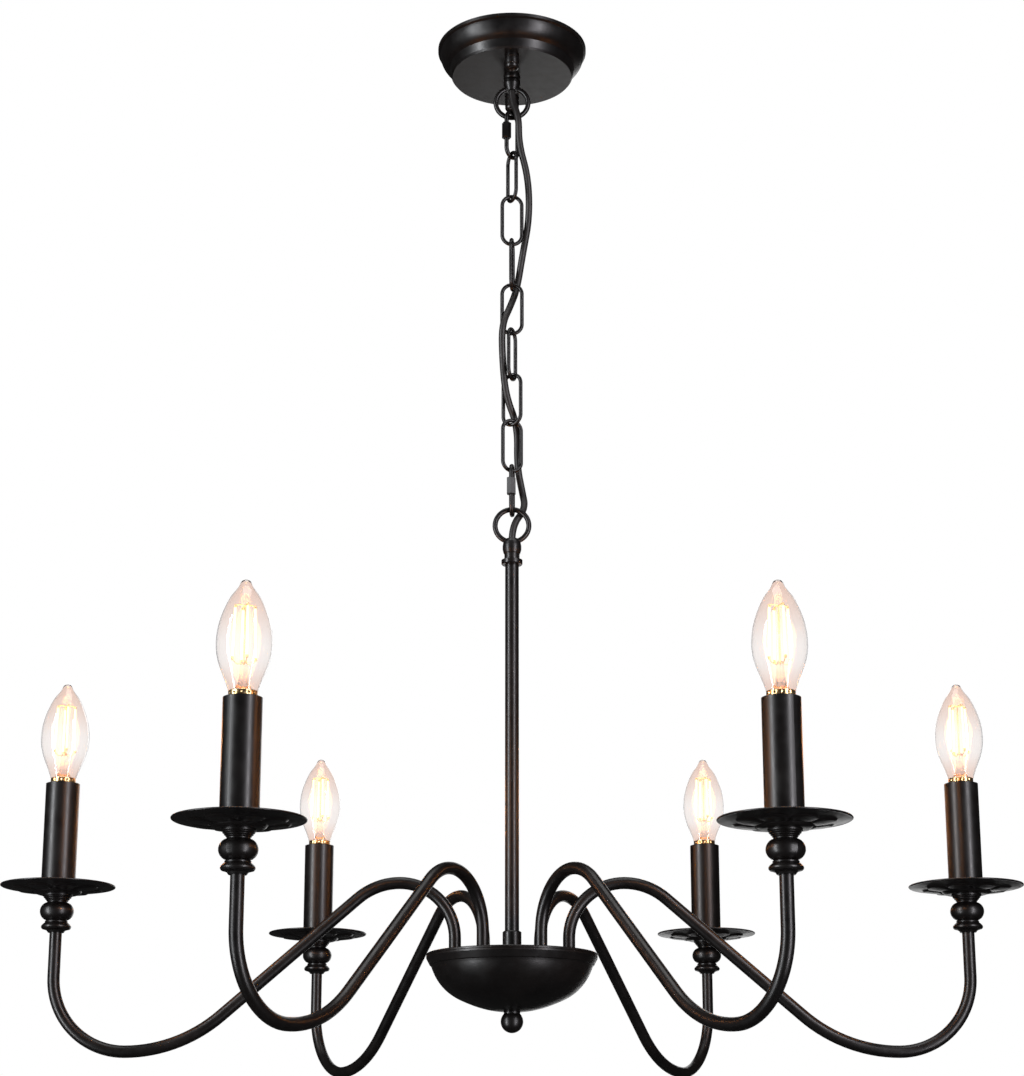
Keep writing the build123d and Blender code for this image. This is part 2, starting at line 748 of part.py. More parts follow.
# ---- Candles -----------------------------------------------------------------------------------
# Each candle is modelled on the Z axis, with its rim level at the final height, and set out in a ring.
# The baluster has three beads narrowing to a neck, a flattened ball and a ring above the arm.
with BuildPart() as baluster:
    with BuildSketch(Plane.XZ):
        with BuildLine():
            upper = Polyline(
                (NIPPLE_RADIUS, rim_level - CUP_DEPTH),
                (10.9, rim_level - CUP_DEPTH),
                (10.9, rim_level - 8.1),
                (10.0, rim_level - 8.7),
                (10.1, rim_level - 9.3),
                (9.0, rim_level - 9.9),
                (9.1, rim_level - 10.5),
                (8.0, rim_level - 11.1),
                (8.1, rim_level - 11.6),
                (BALL_NECK_RADIUS, rim_level - 12.2),
                (BALL_NECK_RADIUS, rim_level - BALL_LEVEL + BALL_HALF_HEIGHT),
            )
            ball = ThreePointArc(
                upper @ 1,
                (BALL_RADIUS, rim_level - BALL_LEVEL),
                (BALL_NECK_RADIUS, rim_level - BALL_LEVEL - BALL_HALF_HEIGHT),
            )
            Polyline(
                ball @ 1,
                (8.4, rim_level - 26.8),
                (8.2, rim_level - 27.6),
                (9.1, rim_level - 28.3),
                (10.3, rim_level - 29.5),
                (10.9, rim_level - 30.4),
                (10.9, rim_level - 31.4),
                (10.2, rim_level - 32.4),
                (7.7, rim_level - 33.1),
                (6.7, rim_level - 33.7),
                (5.8, rim_level - BALUSTER_BOTTOM),
                (ARM_TUBE_RADIUS, rim_level - BALUSTER_BOTTOM),
                (ARM_TUBE_RADIUS, arm_top),
                (NIPPLE_RADIUS, arm_top),
                upper @ 0,
            )
        make_face()
    revolve(axis=Axis.Z)
save(ring_of(baluster, CANDLE_RADIUS, ARM_COUNT), "balusters")

cup_floor = rim_level - CUP_DEPTH + BOBECHE_SHEET
with BuildPart() as bobeche:
    revolve(
        outline(
            (NIPPLE_RADIUS, cup_floor),
            (14.4, cup_floor),
            (16.4, cup_floor + 1.2),
            (17.4, rim_level - 3.4),
            (24, rim_level - 2.8),
            (30, rim_level - 1.9),
            (BOBECHE_RADIUS - 0.8, rim_level),
            (BOBECHE_RADIUS, rim_level),
            (BOBECHE_RADIUS, rim_level - BOBECHE_SHEET),
            (30, rim_level - 1.9 - BOBECHE_SHEET),
            (24, rim_level - 2.8 - BOBECHE_SHEET),
            (18.2, rim_level - 3.4 - BOBECHE_SHEET),
            (17.2, cup_floor + 0.4),
            (15, rim_level - CUP_DEPTH),
            (NIPPLE_RADIUS, rim_level - CUP_DEPTH),
        ),
        axis=Axis.Z,
    )
save(ring_of(bobeche, CANDLE_RADIUS, ARM_COUNT), "bobeches")

candle_sleeve = tube(SLEEVE_RADIUS, SLEEVE_RADIUS - SLEEVE_WALL, cup_floor, rim_level + SLEEVE_TOP)
save(ring_of(candle_sleeve, CANDLE_RADIUS, ARM_COUNT), "candle_sleeves")

socket_nipple = tube(NIPPLE_RADIUS, ARM_BORE_RADIUS, arm_top, rim_level + SOCKET_BOTTOM)
save(ring_of(socket_nipple, CANDLE_RADIUS, ARM_COUNT), "socket_nipples")

shell_seat = rim_level + CAP_BOTTOM - 1
with BuildPart() as socket:
    revolve(
        outline(
            (0, rim_level + SOCKET_BOTTOM),
            (SOCKET_RADIUS - 1, rim_level + SOCKET_BOTTOM),
            (SOCKET_RADIUS, rim_level + SOCKET_BOTTOM + 3),
            (SOCKET_RADIUS, rim_level + SOCKET_TOP),
            (SCREW_SHELL_RADIUS, rim_level + SOCKET_TOP),
            (SCREW_SHELL_RADIUS, shell_seat),
            (0, shell_seat),
        ),
        axis=Axis.Z,
    )
save(ring_of(socket, CANDLE_RADIUS, ARM_COUNT), "sockets")

screw_shell = tube(
    SCREW_SHELL_RADIUS,
    SCREW_SHELL_RADIUS - SCREW_SHELL_WALL,
    shell_seat,
    rim_level + SOCKET_TOP - 1,
)
save(ring_of(screw_shell, CANDLE_RADIUS, ARM_COUNT), "socket_shells")


# ---- Bulbs -------------------------------------------------------------------------------------
def bulb_section(inset):
    """Half section of the glass outside, or of its inside when inset by the wall.

    BULB_DOME has points of the pointed dome, as shares of its radius and height.
    """
    widest = rim_level + BULB_WIDEST
    neck = rim_level + BULB_NECK
    dome_height = BULB_TOP - BULB_WIDEST - inset
    with BuildSketch(Plane.XZ) as section:
        with BuildLine():
            dome = Spline(
                (BULB_RADIUS - inset, widest),
                *(
                    ((BULB_RADIUS - inset) * across, widest + dome_height * up)
                    for across, up in BULB_DOME
                ),
                (0, widest + dome_height),
                tangents=((0, 1), (-1, 0)),
            )
            taper = Spline(
                (BULB_NECK_RADIUS - inset, neck),
                (BULB_RADIUS - inset, widest),
                tangents=((0.25, 1), (0, 1)),
            )
            Polyline(dome @ 1, (0, neck), taper @ 0)
        make_face()
    return section.sketch


with BuildPart() as bulb_glass:
    revolve(bulb_section(0), axis=Axis.Z)
    revolve(bulb_section(BULB_WALL), axis=Axis.Z, mode=Mode.SUBTRACT)

# The cap's flared skirt grips the glass; the stem inside carries upright filaments.
stem_top = rim_level + BULB_NECK + GLASS_STEM_HEIGHT
with BuildPart() as bulb_core:
    revolve(
        outline(
            (0, rim_level + CAP_BOTTOM),
            (2.6, rim_level + CAP_BOTTOM),
            (3.4, rim_level + CAP_BOTTOM + 1.4),
            (CAP_RADIUS, rim_level + CAP_BOTTOM + 3),
            (CAP_RADIUS, rim_level + SOCKET_TOP + 0.6),
            (BULB_NECK_RADIUS, rim_level + SLEEVE_TOP + 0.5),
            (BULB_NECK_RADIUS, rim_level + BULB_NECK),
            (6, rim_level + BULB_NECK),
            (3.2, rim_level + BULB_NECK + 6),
            (2.4, stem_top),
            (0, stem_top),
        ),
        axis=Axis.Z,
    )
    with BuildSketch(Plane.XY.offset(stem_top)):
        Circle(0.5)
    extrude(amount=FILAMENT_LENGTH + 3)
    for height in (stem_top - 2, stem_top + FILAMENT_LENGTH + 1):
        for turn in range(FILAMENT_COUNT):
            angle = FILAMENT_TURN + 360 * turn / FILAMENT_COUNT
            with Locations(Location((0, 0, height), (0, 0, angle))):
                Box(FILAMENT_CIRCLE, 0.8, 0.8, align=(Align.MIN, Align.CENTER, Align.CENTER))
    with BuildSketch(Plane.XY.offset(stem_top - 2)):
        with PolarLocations(FILAMENT_CIRCLE, FILAMENT_COUNT, start_angle=FILAMENT_TURN):
            Circle(FILAMENT_RADIUS)
    extrude(amount=FILAMENT_LENGTH + 3)

for number in range(ARM_COUNT):
    turn = radians(360 * number / ARM_COUNT)
    candle_place = Location((CANDLE_RADIUS * cos(turn), CANDLE_RADIUS * sin(turn), 0))
    for piece, node in ((bulb_glass, "bulb_glass"), (bulb_core, "bulb_core")):
        with BuildPart() as placed:
            with Locations(candle_place):
                add(piece.part)
        save(placed, f"{node}_{number + 1}")
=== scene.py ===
import json
from math import cos, exp, pi, radians, sin, tau

import bpy
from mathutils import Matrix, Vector

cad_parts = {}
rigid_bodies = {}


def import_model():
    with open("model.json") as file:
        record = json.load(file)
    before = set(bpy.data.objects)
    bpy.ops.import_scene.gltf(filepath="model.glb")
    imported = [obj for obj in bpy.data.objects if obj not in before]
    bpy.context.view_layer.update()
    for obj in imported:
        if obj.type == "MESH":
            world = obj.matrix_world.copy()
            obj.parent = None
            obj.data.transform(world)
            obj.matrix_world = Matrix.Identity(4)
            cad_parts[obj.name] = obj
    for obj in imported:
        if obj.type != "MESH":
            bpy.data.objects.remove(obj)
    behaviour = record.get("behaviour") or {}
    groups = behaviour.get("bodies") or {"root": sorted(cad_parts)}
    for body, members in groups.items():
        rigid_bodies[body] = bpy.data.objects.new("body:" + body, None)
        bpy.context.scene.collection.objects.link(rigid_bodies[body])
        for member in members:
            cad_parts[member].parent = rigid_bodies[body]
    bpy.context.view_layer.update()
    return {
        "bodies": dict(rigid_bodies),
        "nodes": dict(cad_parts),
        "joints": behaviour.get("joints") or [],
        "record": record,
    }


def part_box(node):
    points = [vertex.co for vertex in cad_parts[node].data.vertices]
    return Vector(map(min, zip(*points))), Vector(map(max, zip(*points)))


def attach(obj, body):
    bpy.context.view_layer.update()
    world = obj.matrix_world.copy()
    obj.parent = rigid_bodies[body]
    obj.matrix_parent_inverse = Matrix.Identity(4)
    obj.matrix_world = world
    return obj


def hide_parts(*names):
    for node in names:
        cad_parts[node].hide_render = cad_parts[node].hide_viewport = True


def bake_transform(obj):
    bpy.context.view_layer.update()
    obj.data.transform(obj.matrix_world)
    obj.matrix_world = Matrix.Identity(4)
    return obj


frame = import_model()

# Six-arm candle chandelier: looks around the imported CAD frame. Metres, +Z up, ceiling face at Z = 0.

# ---- Camera --------------------------------------------------------------------------------------
CAMERA_PLACE = (0, -1.672, -0.921)
CAMERA_PITCH = 14.2
CAMERA_LENS = 75.9
CAMERA_SHIFT_Y = 0.0980

# ---- Cord ----------------------------------------------------------------------------------------
CORD_DIAMETER = 0.0054
CORD_SIDES = 20
CORD_STEPS = 12
CORD_ROUTE = (
    (0, 0, -0.035),
    (0, 0, -0.0455),
    (0.0055, -0.008, -0.063),
    (0.0055, -0.0055, -0.086),
    (0.013, -0.0025, -0.1135),
    (0.014, 0.0025, -0.1465),
    (0.0085, 0.007, -0.176),
    (0.004, 0.0145, -0.2025),
    (-0.001, 0.0015, -0.222),
    (-0.008, -0.0105, -0.243),
    (-0.0075, -0.0025, -0.2685),
    (-0.005, -0.002, -0.2985),
    (0.0045, 0.0085, -0.3205),
    (0.004, 0.0105, -0.353),
    (0.008, 0.014, -0.3725),
    (0.0105, 0.0085, -0.388),
    (0, 0, -0.4044),
    (0, 0, -0.4174),
)

# ---- Candle bulbs, heights above the drip pan's rim ------------------------------------------------
CAP_BOTTOM = 0.055
CAP_SIDES = 96
THREAD_BOTTOM = 0.0588
THREAD_TOP = 0.0727
THREAD_STEPS = 56
THREAD_PITCH = 0.00254
THREAD_MEAN_RADIUS = 0.00558
THREAD_DEPTH = 0.0003
THREAD_RUN_OUT = 0.2
CAP_SHOULDER = ((0.0058, 0.0735), (0.0074, 0.0751), (0.0088, 0.0764))
SKIRT_RADIUS = 0.0092
SKIRT_LEVELS = (0.0769, 0.0774, 0.0778, 0.0784, 0.0790, 0.0793, 0.0796)
CRIMP_SHARES = (0, 0.3, 0.85, 1, 0.85, 0.3, 0)
CRIMP_COUNT = 12
CRIMP_DEPTH = 0.0006
NECK = 0.080
CAP_LIP = ((0.0091, NECK - 0.0001), (0.0086, NECK - 0.0001), (0.0060, 0.0794))
INSULATOR_PROFILE = (
    (0.0021, CAP_BOTTOM + 0.0002),
    (0.0027, CAP_BOTTOM + 0.0010),
    (0.0030, CAP_BOTTOM + 0.0014),
    (0.0046, CAP_BOTTOM + 0.0022),
    (0.0052, CAP_BOTTOM + 0.0031),
    (0.0050, CAP_BOTTOM + 0.0036),
)
STEM_TOP = 0.100
STEM_SIDES = 40
STEM_PROFILE = (
    (0.0066, NECK + 0.0003),
    (0.0060, NECK + 0.0012),
    (0.0046, NECK + 0.0032),
    (0.0035, NECK + 0.0060),
    (0.0029, NECK + 0.0100),
    (0.0026, NECK + 0.0150),
    (0.0024, NECK + 0.0180),
    (0.0017, STEM_TOP - 0.0006),
    (0.0008, STEM_TOP),
)
# Heights of the painted warm glow in the glass: a peach tint at the neck and at the tip.
PAINTED_GLOW_NECK_TOP = NECK + 0.018
PAINTED_GLOW_TIP_START = 0.112
PAINTED_GLOW_TIP_END = 0.145
FILAMENT_BOTTOM = 0.1015
FILAMENT_TOP = 0.1345
FILAMENT_COUNT = 4
FILAMENT_TURN = 20
FILAMENT_RADIUS = 0.00075
FILAMENT_BOTTOM_CIRCLE = 0.0076
FILAMENT_TOP_CIRCLE = 0.0064
FILAMENT_SIDES = 16
CLIP_RADIUS = 1.15 * FILAMENT_RADIUS
CLIP_SIDES = 12
CLIP_OVERLAP = 0.0006
CLIP_REACH = 0.0012
WIRE_RADIUS = 0.00028
WIRE_START = 0.0010
POST_RADIUS = 1.4 * WIRE_RADIUS
POST_SUNK = 0.003
POST_TOP = FILAMENT_TOP + 0.0008
FOOT_CIRCLE = 0.0012
FOOT_SUNK = 0.002
ELBOW_SHARE = 0.45
ELBOW_SAG = 0.0022
CROOK_SHARE = 0.5
CROOK_RISE = 0.0010

# ---- Drip pans -------------------------------------------------------------------------------------
PAN_SHEET = 0.001
PAN_SIDES = 192
PAN_PROFILE = (
    (0.0047, -0.0060),
    (0.0144, -0.0060),
    (0.0164, -0.0048),
    (0.0174, -0.0034),
    (0.0240, -0.0028),
    (0.0300, -0.0019),
    (0.0405, -0.0002),
    (0.0414, 0.0),
)
PAN_BOTTOM = -0.007
CUP_STATIONS = (0.0047, 0.010, 0.0144, 0.0152, 0.0164, 0.0169, 0.0174)
CUP_WALL_START = 0.0147
CUP_WALL_END = 0.018
CUP_WALL_OFFSET = 0.0006
PLATE_START = 0.0174
PLATE_END = 0.0400
PLATE_STEPS = 44
ROLLED_RIM = (
    (0.0407, -0.00018),
    (0.0412, 0.0),
    (0.0417, -0.0001),
    (0.0420, -0.0005),
    (0.0419, -0.0010),
    (0.0414, -0.0013),
    (0.0407, -0.0012),
)
PETAL_START = 0.0176
PETAL_START_WIDTH = 0.002
PETAL_COUNT = 8
PETAL_SHARPNESS = 0.75
PETAL_EDGE_SHARE = 0.55
PETAL_STEP = 0.0011
PETAL_INNER_EDGE = 0.0245
PETAL_OUTER_EDGE = 0.0325
PETAL_EDGE_WIDTH = 0.0016
PETAL_CREASE_WIDTH = 0.07
PETAL_CREASE_DEPTH = 0.0007

# ---- Floor and lights ------------------------------------------------------------------------------
FLOOR_LEVEL = -2.4
FLOOR_HALF = 30.0
ROOM_LEVEL = 1.0
ROOM_LEVEL_IN_GLOSS = 0.025
LIGHT_TARGET = (0, 0, -0.55)
SOFTBOXES = (
    {
        "name": "left_box",
        "place": (-1.75, -1.05, -0.5),
        "width": 0.36,
        "height": 2.8,
        "power": 66,
        "colour": (0.95, 0.97, 1.0),
    },
    {
        "name": "right_box",
        "place": (1.25, -1.45, -0.5),
        "width": 0.26,
        "height": 2.8,
        "power": 48,
        "colour": (0.98, 0.95, 1.0),
    },
    {"name": "rear_box", "place": (0.4, 2.1, -0.3), "width": 1.0, "height": 1.8, "power": 10},
    {"name": "top_box", "place": (0, -0.2, 1.3), "width": 1.2, "height": 1.2, "power": 14},
)
WARM = (1.0, 0.36, 0.10)
WARM_POWER = 0.55
WARM_RADIUS = 0.013

scene = bpy.context.scene
scene.view_settings.view_transform = "Standard"

camera_data = bpy.data.cameras.new("camera")
camera_data.lens = CAMERA_LENS
camera_data.shift_y = CAMERA_SHIFT_Y
camera = bpy.data.objects.new("camera", camera_data)
camera.location = CAMERA_PLACE
camera.rotation_euler = (radians(90 + CAMERA_PITCH), 0, 0)
scene.collection.objects.link(camera)
scene.camera = camera


def mesh_object(name, vertices, faces, sharp_angle=40):
    """A smooth-shaded mesh with sharp edges above the given angle in degrees."""
    mesh = bpy.data.meshes.new(name)
    mesh.from_pydata([tuple(v) for v in vertices], [], faces)
    mesh.update()
    mesh.shade_smooth()
    mesh.set_sharp_from_angle(angle=radians(sharp_angle))
    made = bpy.data.objects.new(name, mesh)
    scene.collection.objects.link(made)
    return made


def rings_to_mesh(rings):
    """Points and faces that join rings into a closed tube with flat ends."""
    count = len(rings[0])
    vertices = [point for ring in rings for point in ring]
    faces = []
    for level in range(len(rings) - 1):
        low, high = level * count, (level + 1) * count
        for side in range(count):
            after = (side + 1) % count
            faces.append((low + side, low + after, high + after, high + side))
    faces.append(tuple(reversed(range(count))))
    faces.append(tuple(range((len(rings) - 1) * count, len(rings) * count)))
    return vertices, faces


def carried_rings(points, radius, sides):
    """Rings round a line, with their first point carried along it without twist."""
    rings = []
    across = Vector((1, 0, 0))
    for i, point in enumerate(points):
        ahead = (points[min(i + 1, len(points) - 1)] - points[max(i - 1, 0)]).normalized()
        across = (across - ahead * across.dot(ahead)).normalized()
        beside = ahead.cross(across)
        rings.append(
            [
                point + radius * (across * cos(tau * k / sides) + beside * sin(tau * k / sides))
                for k in range(sides)
            ]
        )
    return rings


# ---- The cord ------------------------------------------------------------------------------------
def line_along(route):
    """Points along the smooth curve that the route's points control."""
    curve = bpy.data.curves.new("cord_line", "CURVE")
    curve.dimensions = "3D"
    spline = curve.splines.new("NURBS")
    spline.points.add(len(route) - 1)
    for point, place in zip(spline.points, route):
        point.co = (*place, 1)
    spline.order_u = 3
    spline.use_endpoint_u = True
    spline.resolution_u = CORD_STEPS
    holder = bpy.data.objects.new("cord_line", curve)
    scene.collection.objects.link(holder)
    bpy.context.view_layer.update()
    line = bpy.data.meshes.new_from_object(holder)
    points = [v.co.copy() for v in line.vertices]
    bpy.data.objects.remove(holder)
    bpy.data.curves.remove(curve)
    return points


def cut_at(points, heights):
    """Add a point where the falling line crosses each height; gives the line and each cut's index."""
    line, cuts = [points[0]], []
    waiting = list(heights)
    for above, below in zip(points, points[1:]):
        while waiting and below.z <= waiting[0] < above.z:
            share = (above.z - waiting.pop(0)) / (above.z - below.z)
            line.append(above.lerp(below, share))
            cuts.append(len(line) - 1)
        if (below - line[-1]).length > 1e-5:
            line.append(below)
    return line, cuts


swings = [j for j in frame["joints"] if j["name"].endswith("_swing")]
swings.sort(key=lambda j: -j["pos_m"][2])
swing_heights = [j["pos_m"][2] for j in swings]
cut_heights = [(a + b) / 2 for a, b in zip(swing_heights, swing_heights[1:])]
cord_line, cuts = cut_at(line_along(CORD_ROUTE), cut_heights)
cord_rings = carried_rings(cord_line, CORD_DIAMETER / 2, CORD_SIDES)
cord_ends = [0, *cuts, len(cord_line) - 1]
cord_pieces = []
for number, (joint, start, end) in enumerate(zip(swings, cord_ends, cord_ends[1:]), 1):
    piece = mesh_object(
        f"power_cord_{number}", *rings_to_mesh(cord_rings[start : end + 1]), sharp_angle=60
    )
    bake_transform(piece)
    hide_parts("power_cord")
    cord_pieces.append(piece)


# ---- Materials -------------------------------------------------------------------------------------
record_colour = {m["slot"]: m["base_color"] for m in frame["record"]["materials"]}


class Surface:
    """A procedural material around one Principled shader, in the row frame's own coordinates."""

    def __init__(self, name, **inputs):
        self.material = bpy.data.materials.new(name)
        self.material.use_nodes = True
        self.nodes = self.material.node_tree.nodes
        self.links = self.material.node_tree.links
        self.shader = self.nodes["Principled BSDF"]
        self.place = self.nodes.new("ShaderNodeTexCoord").outputs["Object"]
        for socket, value in inputs.items():
            self.shader.inputs[socket.replace("_", " ")].default_value = value

    def noise(self, feature, detail=2.0, roughness=0.5, stretch=(1, 1, 1)):
        """Noise with features of the given size in metres."""
        mapping = self.nodes.new("ShaderNodeMapping")
        mapping.inputs["Scale"].default_value = stretch
        self.links.new(self.place, mapping.inputs["Vector"])
        texture = self.nodes.new("ShaderNodeTexNoise")
        texture.inputs["Scale"].default_value = 1 / feature
        texture.inputs["Detail"].default_value = detail
        texture.inputs["Roughness"].default_value = roughness
        self.links.new(mapping.outputs[0], texture.inputs["Vector"])
        return texture.outputs["Fac"]

    def between(self, factor, low, high, start=0.3, end=0.7):
        """A number or colour that runs from low to high as the factor runs from start to end."""
        ramp = self.nodes.new("ShaderNodeMapRange")
        ramp.inputs["From Min"].default_value = start
        ramp.inputs["From Max"].default_value = end
        self.links.new(factor, ramp.inputs["Value"])
        if not hasattr(low, "__len__"):
            ramp.inputs["To Min"].default_value = low
            ramp.inputs["To Max"].default_value = high
            return ramp.outputs[0]
        mix = self.nodes.new("ShaderNodeMix")
        mix.data_type = "RGBA"
        self.links.new(ramp.outputs[0], mix.inputs[0])
        mix.inputs[6].default_value = (*low, 1)
        mix.inputs[7].default_value = (*high, 1)
        return mix.outputs[2]

    def colour(self, factor, low, high, **span):
        self.links.new(self.between(factor, low, high, **span), self.shader.inputs["Base Color"])
        return self

    def roughness(self, factor, low, high, **span):
        self.links.new(self.between(factor, low, high, **span), self.shader.inputs["Roughness"])
        return self

    def bump(self, *layers):
        """Bump from (height output, depth in metres, strength) layers, coarse to fine."""
        last = None
        for height, depth, strength in layers:
            node = self.nodes.new("ShaderNodeBump")
            node.inputs["Distance"].default_value = depth
            node.inputs["Strength"].default_value = strength
            self.links.new(height, node.inputs["Height"])
            if last:
                self.links.new(last, node.inputs["Normal"])
            last = node.outputs[0]
        self.links.new(last, self.shader.inputs["Normal"])
        return self


def scaled(colour, share):
    return tuple(channel * share for channel in colour)


coat = Surface("black_powder_coat", Specular_IOR_Level=0.4)
coat.colour(coat.noise(0.03, 3), (0.0012, 0.0009, 0.0009), (0.0030, 0.0022, 0.0020))
coat.roughness(coat.noise(0.008, 4), 0.30, 0.40)
coat.bump(
    (coat.noise(0.0035, 2), 0.0002, 0.08),
    (coat.noise(0.0009, 3), 0.00008, 0.14),
)

zinc = Surface("zinc_steel", Metallic=1.0)
zinc.colour(zinc.noise(0.004, 3), (0.42, 0.43, 0.45), (0.60, 0.60, 0.61))
zinc.roughness(zinc.noise(0.0015, 3), 0.28, 0.46)
zinc.bump((zinc.noise(0.0012, 3), 0.00005, 0.25))

green = Surface("green_screw", Metallic=1.0)
green.colour(green.noise(0.002, 3), (0.03, 0.20, 0.07), (0.07, 0.34, 0.13))
green.roughness(green.noise(0.001, 3), 0.25, 0.42)
green.bump((green.noise(0.0008, 2), 0.00004, 0.25))

jacket = Surface("cord_jacket", Specular_IOR_Level=0.4)
jacket.colour(jacket.noise(0.012, 3), (0.0055, 0.0048, 0.0046), (0.012, 0.0105, 0.0100))
jacket.roughness(jacket.noise(0.004, 3), 0.40, 0.54)
jacket.bump(
    (jacket.noise(0.0022, 2, stretch=(1, 1, 0.35)), 0.0002, 0.20),
    (jacket.noise(0.0006, 2), 0.00006, 0.25),
)

lead = Surface("lead_insulation")
lead_colour = record_colour["lead_insulation"]
lead.colour(lead.noise(0.006, 2), scaled(lead_colour, 0.8), lead_colour)
lead.roughness(lead.noise(0.003, 2), 0.38, 0.5)
lead.bump((lead.noise(0.001, 2), 0.00004, 0.2))

nut_plastic = Surface("wire_nut_plastic", Subsurface_Weight=0.1, Subsurface_Scale=0.002)
nut_colour = record_colour["wire_nut_plastic"]
nut_plastic.colour(nut_plastic.noise(0.005, 2), scaled(nut_colour, 0.75), nut_colour)
nut_plastic.roughness(nut_plastic.noise(0.002, 2), 0.42, 0.56)
nut_plastic.bump((nut_plastic.noise(0.0009, 2), 0.00005, 0.25))

socket_plastic = Surface("socket_plastic")
socket_colour = record_colour["socket_plastic"]
socket_plastic.colour(socket_plastic.noise(0.006, 3), scaled(socket_colour, 0.7), socket_colour)
socket_plastic.roughness(socket_plastic.noise(0.003, 3), 0.35, 0.5)
socket_plastic.bump((socket_plastic.noise(0.0008, 2), 0.00005, 0.25))

brass = Surface("cap_brass", Metallic=1.0)
brass.colour(brass.noise(0.003, 3), (0.55, 0.36, 0.15), (0.80, 0.58, 0.30))
brass.roughness(brass.noise(0.0015, 3), 0.20, 0.36)
brass.bump((brass.noise(0.0008, 3), 0.00003, 0.2))

# Clear glass with painted warm light: a peach tint painted into the base colour where the filaments'
# warm light is densest, at the tip and the neck.
rim_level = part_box("bobeches")[1].z
glass = Surface("clear_glass", Transmission_Weight=1.0, IOR=1.45)
height = glass.nodes.new("ShaderNodeSeparateXYZ")
glass.links.new(glass.place, height.inputs[0])
painted_glow_at_neck = glass.between(
    height.outputs["Z"], 1.0, 0.0, start=rim_level + NECK, end=rim_level + PAINTED_GLOW_NECK_TOP
)
painted_glow_at_tip = glass.between(
    height.outputs["Z"],
    0.0,
    1.0,
    start=rim_level + PAINTED_GLOW_TIP_START,
    end=rim_level + PAINTED_GLOW_TIP_END,
)
painted_glow_mask = glass.nodes.new("ShaderNodeMath")
painted_glow_mask.operation = "MAXIMUM"
glass.links.new(painted_glow_at_neck, painted_glow_mask.inputs[0])
glass.links.new(painted_glow_at_tip, painted_glow_mask.inputs[1])
# Painted warm glow: the mask turns the base colour from clear to peach by the neck and the tip,
# standing in for the filaments' light.
glass.colour(painted_glow_mask.outputs[0], (0.985, 0.955, 0.94), (0.93, 0.80, 0.74), start=0, end=1)
glass.roughness(glass.noise(0.01, 2), 0.0, 0.015)
glass.bump((glass.noise(0.012, 2), 0.0003, 0.03))

wire = Surface("filament_wire", Metallic=1.0)
wire.colour(wire.noise(0.001, 2), (0.42, 0.27, 0.14), (0.62, 0.44, 0.27))
wire.roughness(wire.noise(0.0006, 2), 0.3, 0.45)

glow = Surface("filament_glow", Emission_Strength=1.0)
glow.colour(glow.noise(0.0012, 2), (0.85, 0.55, 0.12), (0.95, 0.72, 0.25))
glow.roughness(glow.noise(0.0006, 2), 0.4, 0.6)
glow.links.new(
    glow.between(glow.noise(0.0016, 2), (1.0, 0.86, 0.50), (1.0, 0.95, 0.72)),
    glow.shader.inputs["Emission Color"],
)

SURFACES = {
    "black_powder_coat": coat,
    "zinc_steel": zinc,
    "green_screw": green,
    "cord_jacket": jacket,
    "lead_insulation": lead,
    "wire_nut_plastic": nut_plastic,
    "socket_plastic": socket_plastic,
    "cap_brass": brass,
    "clear_glass": glass,
    "filament_glow": glow,
}


def finish_with(thing, surface):
    """Give an object one material."""
    thing.data.materials.clear()
    thing.data.materials.append(surface.material)


for part in frame["record"]["subparts"]:
    finish_with(frame["nodes"][part["node"]], SURFACES[part["material_slot"]])
for piece in cord_pieces:
    finish_with(piece, jacket)


def add_piece(thing, body, slot, surface=None, node=None):
    """Let a new piece ride on its body, finished with the given surface or else its slot's, in place
    of a CAD node.
    """
    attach(thing, body)
    finish_with(thing, surface or SURFACES[slot])
    if node:
        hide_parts(node)


# ---- Candles ---------------------------------------------------------------------------------------
bulb_bodies = sorted(body for body in frame["bodies"] if body.startswith("bulb_"))
candles = []
for body in bulb_bodies:
    low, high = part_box(body.replace("bulb_", "bulb_glass_"))
    candles.append((body, Vector(((low.x + high.x) / 2, (low.y + high.y) / 2, rim_level))))


def turned(profile, sides=64):
    """Rings for a profile of (radius, height), round the Z axis."""
    return [
        [Vector((r * cos(tau * k / sides), r * sin(tau * k / sides), z)) for k in range(sides)]
        for r, z in profile
    ]


def sweep(points, radius, sides=10):
    """A thin closed rod along points."""
    return rings_to_mesh(carried_rings([Vector(p) for p in points], radius, sides))


def joined(name, parts, place, sharp_angle=40):
    """One mesh from several (vertices, faces) parts, moved to a place."""
    vertices, faces = [], []
    for part_vertices, part_faces in parts:
        start = len(vertices)
        vertices += [v + place for v in part_vertices]
        faces += [tuple(start + i for i in face) for face in part_faces]
    return mesh_object(name, vertices, faces, sharp_angle)


# The drip pan is pressed sheet: a cup, eight petals standing lower than the plate, and a rolled rim.
def pan_height(radius):
    """Height of the pan's plain upper face at a radius."""
    for (r0, z0), (r1, z1) in zip(PAN_PROFILE, PAN_PROFILE[1:]):
        if radius <= r1:
            return z0 + (z1 - z0) * (radius - r0) / (r1 - r0)
    return PAN_PROFILE[-1][1]


def smoothstep(value):
    value = min(max(value, 0), 1)
    return value * value * (3 - 2 * value)


def pressing(radius, angle):
    """How far the petals push the sheet down at a point."""
    turn = (angle * PETAL_COUNT / tau) % 1 - 0.5
    petal = cos(pi * turn) ** PETAL_SHARPNESS
    edge = PETAL_INNER_EDGE + (PETAL_OUTER_EDGE - PETAL_INNER_EDGE) * petal
    inside = 1 - smoothstep((radius - edge) / PETAL_EDGE_WIDTH + 0.5)
    beyond_cup = smoothstep((radius - PETAL_START) / PETAL_START_WIDTH)
    crease = exp(-(((abs(turn) - 0.5) / PETAL_CREASE_WIDTH) ** 2))
    depth = PETAL_STEP * (PETAL_EDGE_SHARE + (1 - PETAL_EDGE_SHARE) * petal)
    return beyond_cup * inside * (depth - PETAL_CREASE_DEPTH * crease)


